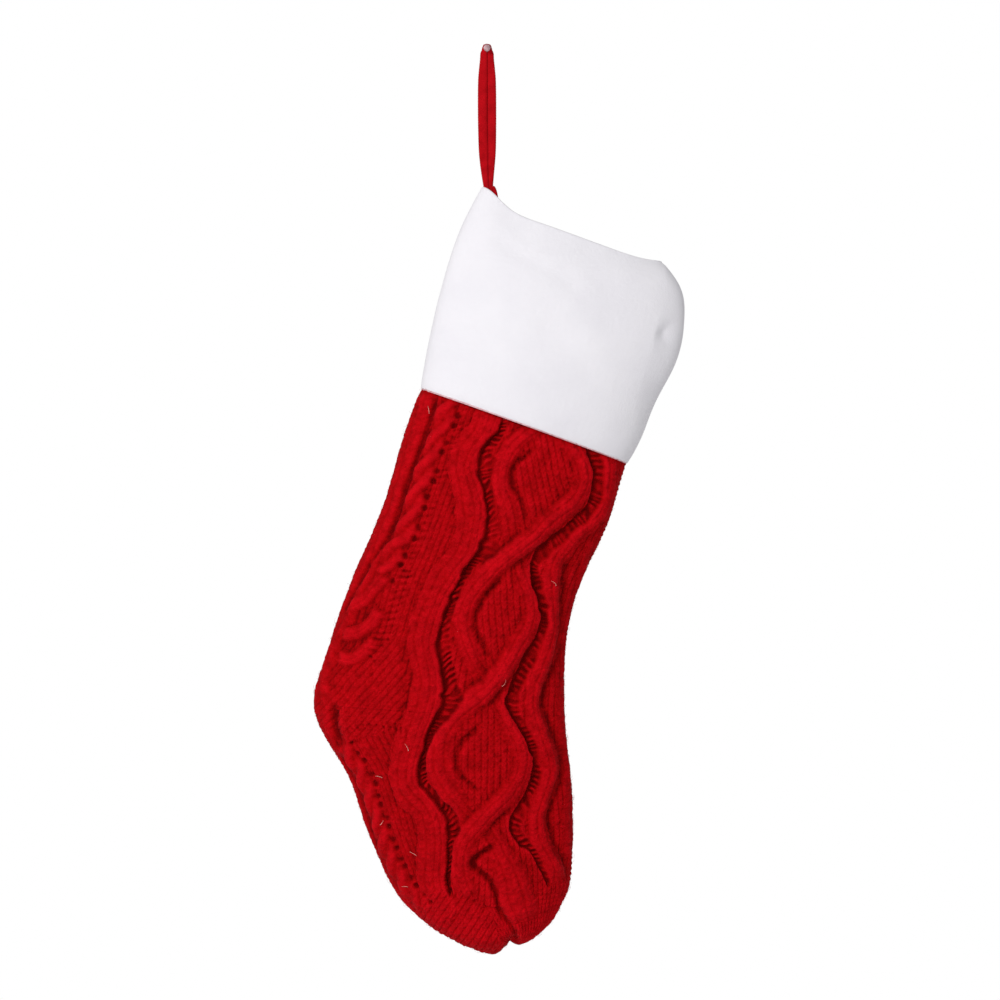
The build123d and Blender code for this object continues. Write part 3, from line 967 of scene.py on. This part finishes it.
def nail(material):
    """Wire nail turned round its axis: domed head, shank with a grip groove, point."""
    low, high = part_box("wall_nail")
    front, tip = low[1] / MM, high[1] / MM
    head_r = (high[0] - low[0]) / 2 / MM
    head = [(0.45, 0.05), (0.8, 0.16), (0.96, 0.3), (1.0, 0.45), (0.97, 0.65), (0.8, 0.78)]
    outline = [(0.02, front)] + [(head_r * share, front + depth) for share, depth in head]
    outline += [
        (NAIL_R, front + 0.85), (NAIL_R, -0.7), (GROOVE_R, -0.6), (GROOVE_R, -0.1), (NAIL_R, 0.0),
        (NAIL_R, tip - NAIL_POINT), (0.55, tip - 1.3), (0.02, tip),
    ]
    radius, y = np.array(outline).T
    line = np.stack([0 * y, y, 0 * y], -1)
    ob = make_mesh("nail_steel", *tube_mesh(line, radius, 48))
    give(ob, material, "nail_steel", NAIL, "wall_nail")


# ============================== materials ==============================

def new_material(name):
    m = bpy.data.materials.new(name)
    m.use_nodes = True
    nt = m.node_tree
    return m, nt, nt.nodes["Principled BSDF"]


def link(nt, output, target):
    nt.links.new(output, target)


def node(nt, kind, **values):
    """New shader node; a value is one of its settings or, failing that, of its inputs."""
    n = nt.nodes.new(kind)
    for key, value in values.items():
        if hasattr(n, key):
            setattr(n, key, value)
        else:
            n.inputs[key.replace("_", " ")].default_value = value
    return n


def ramp(nt, stops):
    n = nt.nodes.new("ShaderNodeValToRGB")
    e = n.color_ramp.elements
    e[0].position, e[0].color = stops[0][0], (*stops[0][1], 1)
    e[1].position, e[1].color = stops[-1][0], (*stops[-1][1], 1)
    for position, colour in stops[1:-1]:
        x = e.new(position)
        x.color = (*colour, 1)
    return n


def noise(nt, scale, detail, **values):
    """Noise in the object's own coordinates."""
    n = node(nt, "ShaderNodeTexNoise", Scale=scale, Detail=detail, **values)
    link(nt, node(nt, "ShaderNodeTexCoord").outputs["Object"], n.inputs["Vector"])
    return n


def drive(nt, source, stops, target):
    """Lead a value through a ramp to an input."""
    tone = ramp(nt, stops)
    link(nt, source, tone.inputs["Fac"])
    link(nt, tone.outputs["Color"], target)


def finish_surface(bsdf, **values):
    """Set inputs of the main shader, by name with _ for each space."""
    for key, value in values.items():
        bsdf.inputs[key.replace("_", " ")].default_value = value


def bump(nt, bsdf, source, strength, distance):
    b = node(nt, "ShaderNodeBump", Strength=strength, Distance=distance)
    link(nt, source.outputs["Fac"], b.inputs["Height"])
    link(nt, b.outputs["Normal"], bsdf.inputs["Normal"])


def yarn_material(name, painted_shade_colour, mid, tip, strength=0.3):
    """Yarn: a painted shade colour in the hollows and the lit colour (tip) on the ridges, picked by the
    painted shading in the relief attribute; broken up by fibres and faded patches.
    """
    m, nt, bsdf = new_material(name)
    fibre = noise(nt, 1500.0, 3.0, Roughness=0.65)
    patch = noise(nt, 170.0, 4.0)
    relief = node(nt, "ShaderNodeAttribute", attribute_name="relief")
    add = node(nt, "ShaderNodeMath", operation="MULTIPLY_ADD")
    add.inputs[1].default_value = FIBRE_TONE
    link(nt, fibre.outputs["Fac"], add.inputs[0])
    link(nt, relief.outputs["Fac"], add.inputs[2])
    less = node(nt, "ShaderNodeMath", operation="SUBTRACT")
    less.inputs[1].default_value = FIBRE_TONE / 2
    link(nt, add.outputs[0], less.inputs[0])
    mix = node(nt, "ShaderNodeMixRGB", blend_type="MULTIPLY")
    mix.inputs["Fac"].default_value = 0.6
    # Painted shade and light: the relief value picks shaded, middle and lit tones of the one yarn.
    drive(nt, less.outputs[0], [(0.0, painted_shade_colour), (0.45, mid), (1.0, tip)], mix.inputs[1])
    drive(nt, patch.outputs["Fac"], [(0.32, (0.62, 0.5, 0.5)), (0.62, (1, 1, 1))], mix.inputs[2])
    link(nt, mix.outputs[0], bsdf.inputs["Base Color"])
    finish_surface(
        bsdf, Roughness=0.9, Specular_IOR_Level=0.04, Sheen_Weight=0.06, Sheen_Roughness=0.35,
        Sheen_Tint=(1.0, 0.25, 0.32, 1))
    bump(nt, bsdf, fibre, strength, 0.0006)
    return m


def flecked_material(name, scale, detail, dark, light):
    """Two close colours in fine flecks."""
    m, nt, bsdf = new_material(name)
    fleck = noise(nt, scale, detail)
    drive(nt, fleck.outputs["Fac"], [(0.3, dark), (0.7, light)], bsdf.inputs["Base Color"])
    finish_surface(bsdf, Roughness=0.8)
    return m, nt, bsdf, fleck


def plush_material():
    m, nt, bsdf, _ = flecked_material(
        "cuff_plush_fabric", 26.0, 4.0, (0.79, 0.775, 0.82), (0.835, 0.82, 0.86))
    finish_surface(bsdf, Roughness=0.95, Specular_IOR_Level=0.1, Sheen_Weight=0.3, Sheen_Roughness=0.5)
    bump(nt, bsdf, noise(nt, 1400.0, 2.0, Roughness=0.6), 0.25, 0.0004)
    return m


def steel_material():
    m, nt, bsdf, grain = flecked_material(
        "nail_brushed_steel", 900.0, 3.0, (0.34, 0.20, 0.22), (0.52, 0.36, 0.38))
    finish_surface(bsdf, Metallic=0.5)
    drive(nt, grain.outputs["Fac"], [(0.2, (0.45,) * 3), (0.8, (0.65,) * 3)], bsdf.inputs["Roughness"])
    return m


# ============================== camera and light ==============================

def studio():
    """Camera straight in front, white surroundings, three lamps and a floor that only stands by."""
    scene = bpy.context.scene
    scene.view_settings.view_transform = "Standard"
    cam = bpy.data.cameras.new("camera")
    cam.lens = 85
    cam.sensor_width = 36
    ob = bpy.data.objects.new("camera", cam)
    distance = FRAME_WIDTH * cam.lens / cam.sensor_width
    ob.location = (CAMERA_X, HANG_Y * MM - distance, CAMERA_Z)
    ob.rotation_euler = (math.pi / 2, 0, 0)
    scene.collection.objects.link(ob)
    scene.camera = ob
    world = bpy.data.worlds.new("studio")
    world.use_nodes = True
    nt = world.node_tree
    seen = nt.nodes["Background"]
    seen.inputs[0].default_value = (1, 1, 1, 1)
    ambient = nt.nodes.new("ShaderNodeBackground")
    ambient.inputs[0].default_value = (1, 1, 1, 1)
    ambient.inputs[1].default_value = 0.42
    path = nt.nodes.new("ShaderNodeLightPath")
    mix = nt.nodes.new("ShaderNodeMixShader")
    link(nt, path.outputs["Is Camera Ray"], mix.inputs[0])
    link(nt, ambient.outputs[0], mix.inputs[1])
    link(nt, seen.outputs[0], mix.inputs[2])
    link(nt, mix.outputs[0], nt.nodes["World Output"].inputs[0])
    scene.world = world
    for name, place, size, power, colour in (
        ("key", (-0.9, -1.3, 0.5), 0.6, 17.3, (1, 0.99, 0.98)),
        ("fill", (0.25, -1.35, -1.05), 1.2, 11.8, (0.97, 0.98, 1)),
        ("back", (0.5, 1.5, 0.3), 1.2, 9.0, (1, 1, 1)),
    ):
        light = bpy.data.lights.new(name, "AREA")
        light.size = size
        light.energy = power
        light.color = colour
        lamp = bpy.data.objects.new(name, light)
        lamp.location = place
        aim = Vector((0, HANG_Y * MM, LAMP_AIM_Z)) - Vector(place)
        lamp.rotation_euler = aim.to_track_quat("-Z", "Y").to_euler()
        scene.collection.objects.link(lamp)
    me = bpy.data.meshes.new("floor")
    corners = ((-0.9, -1.0), (0.9, -1.0), (0.9, 0.25), (-0.9, 0.25))
    me.from_pydata([(x, y, FLOOR_Z) for x, y in corners], [], [(0, 1, 2, 3)])
    floor = bpy.data.objects.new("floor", me)
    scene.collection.objects.link(floor)
    pale, _, bsdf = new_material("floor_pale")
    finish_surface(bsdf, Base_Color=(0.85, 0.85, 0.85, 1), Roughness=0.8)
    me.materials.append(pale)


# ============================== assembly ==============================

studio()
# Each yarn's colours: painted shade in the hollows, middle tone, lit colour on the ridges.
tape = yarn_material("red_tape", (0.10, 0.0, 0.001), (0.34, 0.002, 0.004), (0.48, 0.004, 0.009), 0.4)
tape_loop(tape)
loop_knot(tape)
red = yarn_material("red_yarn", (0.16, 0.0, 0.0008), (0.37, 0.0006, 0.0022), (0.55, 0.002, 0.007))
knit_surfaces = knit_panels(red)
loose_fibres(knit_surfaces, red)
pale_hair = flecked_material("lint_pale", 500.0, 2.0, (0.90, 0.26, 0.22), (0.98, 0.60, 0.52))[0]
lint(knit_surfaces[0], pale_hair)
seams(red)
rose_thread = flecked_material("hem_thread_rose", 600.0, 2.0, (0.55, 0.25, 0.28), (0.82, 0.55, 0.58))[0]
cuff_thread(rose_thread)
cuff_piece = cuff(plush_material())
nail(steel_material())
